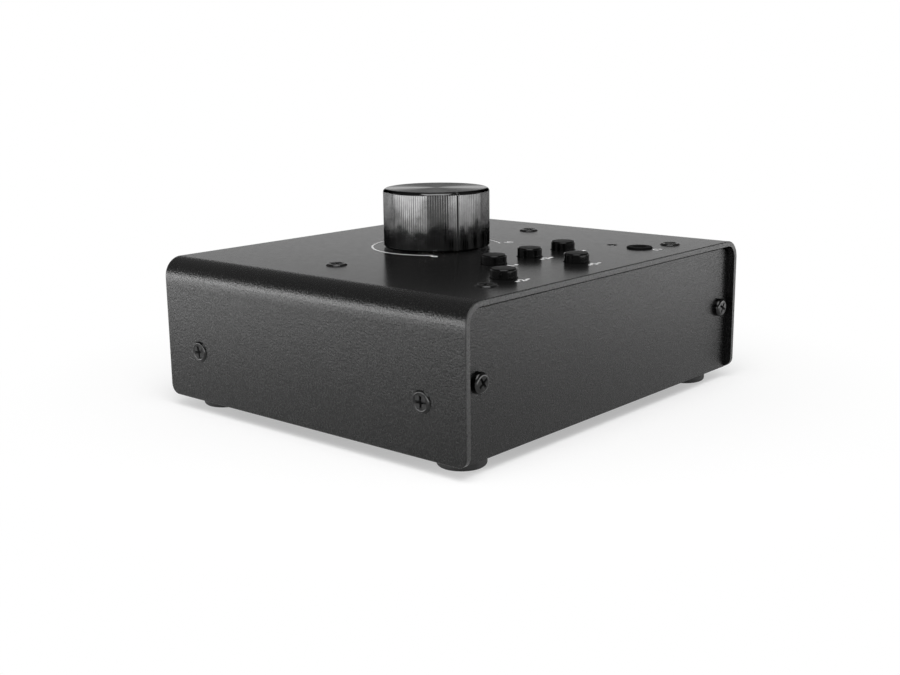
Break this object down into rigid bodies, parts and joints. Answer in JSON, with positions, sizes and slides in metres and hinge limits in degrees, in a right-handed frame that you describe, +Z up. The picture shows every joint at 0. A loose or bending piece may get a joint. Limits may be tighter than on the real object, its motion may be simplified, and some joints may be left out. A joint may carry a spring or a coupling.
{
  "type": "studio monitor controller",
  "caption": "Desktop monitor controller: folded black steel case with a knurled volume knob, push buttons, a status lamp and a headphone socket on top.",
  "frame": {"origin": "middle of the footprint, on the desk under the feet", "axes": "+Z up; the user sits at -Y, so the blank front panel faces -Y and the socket panel faces +Y"},
  "size_m": [0.1296, 0.1122, 0.0607],
  "materials": {
    "powder_coat": "fine-textured matt black powder coat",
    "screw_black": "black oxide, satin",
    "zinc_steel": "zinc plated",
    "foot_rubber": "matt black rubber",
    "knob_anodised": "black anodised, turned top and straight knurl",
    "cap_black": "moulded black, lightly polished",
    "brass_turned": "turned brass",
    "housing_black": "moulded black",
    "housing_blue": "moulded blue",
    "board_green": "solder-masked glass-fibre laminate",
    "solder_pin": "tinned",
    "spring_steel": "drawn wire",
    "track_carbon": "printed carbon track on laminate",
    "lens_clear": "clear moulded lamp lens",
    "relay_case": "moulded cream",
    "can_sleeve": "dark shrink sleeve",
    "ribbon_grey": "grey ribbon cable"
  },
  "bodies": {
    "case": {"audio_chips": "housing_black", "base_tray": "powder_coat", "board_headers": "housing_black", "board_screws": "zinc_steel", "control_board": "board_green", "control_standoffs": "brass_turned", "cover_side_nuts": "zinc_steel", "cover_side_screws": "screw_black", "cover_top_screws": "screw_black", "filter_capacitors": "can_sleeve", "front_panel": "powder_coat", "front_panel_screws": "screw_black", "headphone_jack_body": "housing_black", "headphone_jack_contacts": "solder_pin", "led_leads": "solder_pin", "line_jack_bodies": "housing_black", "line_jack_collars": "solder_pin", "line_jack_contacts": "solder_pin", "line_jack_nuts": "zinc_steel", "main_board": "board_green", "main_standoffs": "brass_turned", "panel_nuts": "zinc_steel", "pot_bush": "brass_turned", "pot_housing": "housing_blue", "pot_nut": "zinc_steel", "pot_track": "track_carbon", "pot_washer": "zinc_steel", "power_inlet_body": "housing_black", "power_inlet_pin": "solder_pin", "rear_panel": "powder_coat", "rear_panel_screws": "screw_black", "ribbon_cable": "ribbon_grey", "rubber_feet": "foot_rubber", "selector_relays": "relay_case", "status_led": "lens_clear", "switch_housings": "housing_black", "switch_pins": "solder_pin", "switch_spring_1": "spring_steel", "switch_spring_2": "spring_steel", "switch_spring_3": "spring_steel", "switch_spring_4": "spring_steel", "switch_spring_5": "spring_steel", "top_cover": "powder_coat", "tray_screws": "screw_black"},
    "knob": {"volume_knob": "knob_anodised", "knob_set_screw": "screw_black", "pot_shaft": "zinc_steel", "pot_wiper": "spring_steel"},
    "button_1": {"button_cap_1": "cap_black", "switch_plunger_1": "housing_black"},
    "button_2": {"button_cap_2": "cap_black", "switch_plunger_2": "housing_black"},
    "button_3": {"button_cap_3": "cap_black", "switch_plunger_3": "housing_black"},
    "button_4": {"button_cap_4": "cap_black", "switch_plunger_4": "housing_black"},
    "button_5": {"button_cap_5": "cap_black", "switch_plunger_5": "housing_black"}
  },
  "joints": [
    {"name": "volume_turn", "type": "hinge", "parent": "case", "child": "knob", "pos_m": [0, 0.0091, 0.0433], "axis": [0, 0, -1], "range_deg": [0, 300]},
    {"name": "button_1_press", "type": "slide", "parent": "case", "child": "button_1", "axis": [0, 0, -1], "range_m": [0, 0.0018], "stiffness_N_per_m": 300, "springref_m": -0.004, "deforming": ["switch_spring_1"]},
    {"name": "button_2_press", "type": "slide", "parent": "case", "child": "button_2", "axis": [0, 0, -1], "range_m": [0, 0.0018], "stiffness_N_per_m": 300, "springref_m": -0.004, "deforming": ["switch_spring_2"]},
    {"name": "button_3_press", "type": "slide", "parent": "case", "child": "button_3", "axis": [0, 0, -1], "range_m": [0, 0.0018], "stiffness_N_per_m": 300, "springref_m": -0.004, "deforming": ["switch_spring_3"]},
    {"name": "button_4_press", "type": "slide", "parent": "case", "child": "button_4", "axis": [0, 0, -1], "range_m": [0, 0.0018], "stiffness_N_per_m": 300, "springref_m": -0.004, "deforming": ["switch_spring_4"]},
    {"name": "button_5_press", "type": "slide", "parent": "case", "child": "button_5", "axis": [0, 0, -1], "range_m": [0, 0.0018], "stiffness_N_per_m": 300, "springref_m": -0.004, "deforming": ["switch_spring_5"]}
  ]
}
